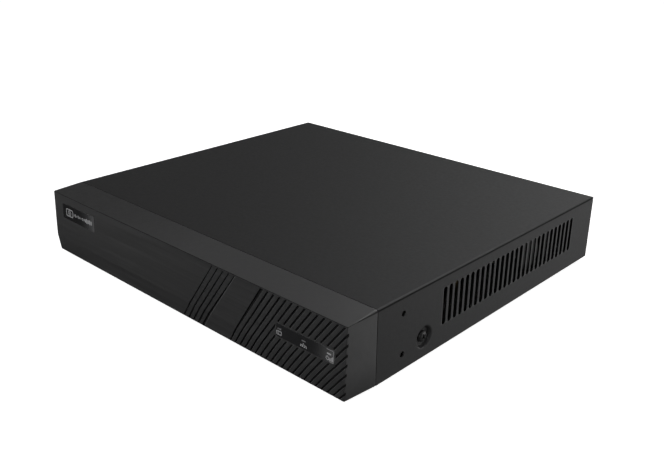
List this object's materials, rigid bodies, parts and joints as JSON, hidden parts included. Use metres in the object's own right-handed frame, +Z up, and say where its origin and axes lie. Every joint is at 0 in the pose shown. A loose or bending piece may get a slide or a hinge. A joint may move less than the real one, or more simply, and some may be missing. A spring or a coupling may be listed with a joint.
{
  "type": "video recorder",
  "caption": "Low black steel video recorder with a slant-ribbed plastic front bezel, vented lift-off cover, disk drive, main board, fan and rear socket row.",
  "frame": {"origin": "middle of the footprint's box, on the surface that the rubber feet stand on", "axes": "+X across the front to the viewer's right, the front bezel faces -Y, +Z up"},
  "size_m": [0.26, 0.249, 0.0445],
  "materials": {
    "black_steel": "fine-grained black powder coat",
    "plated_steel": "zinc plated sheet",
    "panel_steel": "black powder coat",
    "bezel_plastic": "satin black moulding, brushed on the flat areas",
    "badge_gloss": "gloss printed plate",
    "smoked_window": null,
    "foot_rubber": "matt black rubber",
    "black_screw": "black oxide",
    "bright_screw": "nickel plated",
    "clear_plastic": "clear acrylic",
    "circuit_green": "green solder mask",
    "led_body": "clear epoxy",
    "ribbon_grey": "grey ribbon cable",
    "brass_post": "turned brass",
    "chip_black": "moulded epoxy",
    "heatsink_aluminium": "anodised extrusion",
    "ferrite_grey": "ferrite body",
    "capacitor_can": "sleeved aluminium can",
    "holder_black": "moulded nylon",
    "cell_steel": "stainless can",
    "buzzer_black": "moulded",
    "socket_blue": "moulded nylon",
    "header_white": "moulded nylon",
    "fan_black": "glass-filled plastic",
    "lead_red": "insulated wire",
    "drive_casting": "die casting, fine grained",
    "drive_steel": "stainless cover",
    "disk_mirror": "polished disk",
    "arm_aluminium": "machined",
    "magnet_nickel": "nickel plated",
    "connector_black": "moulded",
    "cable_red": "flat cable jacket",
    "wire_yellow": "insulated wires",
    "socket_nickel": "nickel plated",
    "block_black": "moulded",
    "insulator_white": "moulded insulator",
    "contact_gold": "gold plated",
    "shield_steel": "tinned steel shell"
  },
  "bodies": {
    "base": {"base_chassis": "plated_steel", "rear_panel": "panel_steel", "front_bezel": "bezel_plastic", "badge_plate": "badge_gloss", "indicator_window": "smoked_window", "foot_front_left": "foot_rubber", "foot_front_right": "foot_rubber", "foot_rear_left": "foot_rubber", "foot_rear_right": "foot_rubber", "earth_screw": "bright_screw", "light_pipes": "clear_plastic", "indicator_board": "circuit_green", "indicator_leds": "led_body", "indicator_ribbon": "ribbon_grey", "main_board": "circuit_green", "board_standoffs": "brass_post", "board_screws": "bright_screw", "processor": "chip_black", "heatsink": "heatsink_aluminium", "memory_chips": "chip_black", "video_chips": "chip_black", "inductors": "ferrite_grey", "capacitors": "capacitor_can", "cell_holder": "holder_black", "coin_cell": "cell_steel", "buzzer": "buzzer_black", "sata_socket": "socket_blue", "pin_headers": "header_white", "fan_frame": "fan_black", "fan_screws": "bright_screw", "fan_lead": "lead_red", "drive_base": "drive_casting", "drive_lid": "drive_steel", "drive_magnet": "magnet_nickel", "drive_board": "circuit_green", "drive_connector": "connector_black", "drive_screws": "bright_screw", "lid_screws": "bright_screw", "data_cable": "cable_red", "power_cable": "wire_yellow", "video_shells_1": "socket_nickel", "video_shells_2": "socket_nickel", "video_shells_3": "socket_nickel", "video_shells_4": "socket_nickel", "video_blocks": "block_black", "video_insulators": "insulator_white", "video_contacts": "contact_gold", "audio_block": "block_black", "audio_shells": "socket_nickel", "vga_socket": "shield_steel", "vga_posts": "bright_screw", "hdmi_socket": "shield_steel", "lan_socket": "shield_steel", "usb_socket": "shield_steel", "power_inlet": "connector_black"},
    "cover": {"top_cover": "black_steel", "cover_screws": "black_screw"},
    "rotor": {"fan_rotor": "fan_black"},
    "disks": {"drive_platters": "disk_mirror"},
    "arm": {"drive_arm": "arm_aluminium"}
  },
  "joints": [
    {"name": "cover_lift", "type": "slide", "parent": "base", "child": "cover", "axis": [0, 0, 1], "range_m": [0, 0.12]},
    {"name": "fan_spin", "type": "hinge", "parent": "base", "child": "rotor", "pos_m": [0.119, 0.0475, 0.0233], "axis": [1, 0, 0], "continuous": true},
    {"name": "disk_spin", "type": "hinge", "parent": "base", "child": "disks", "pos_m": [-0.0712, -0.0471, 0.0185], "axis": [0, 0, 1], "continuous": true},
    {"name": "arm_swing", "type": "hinge", "parent": "base", "child": "arm", "pos_m": [-0.0203, -0.0731, 0.0185], "axis": [0, 0, 1], "range_deg": [0, 30]}
  ]
}
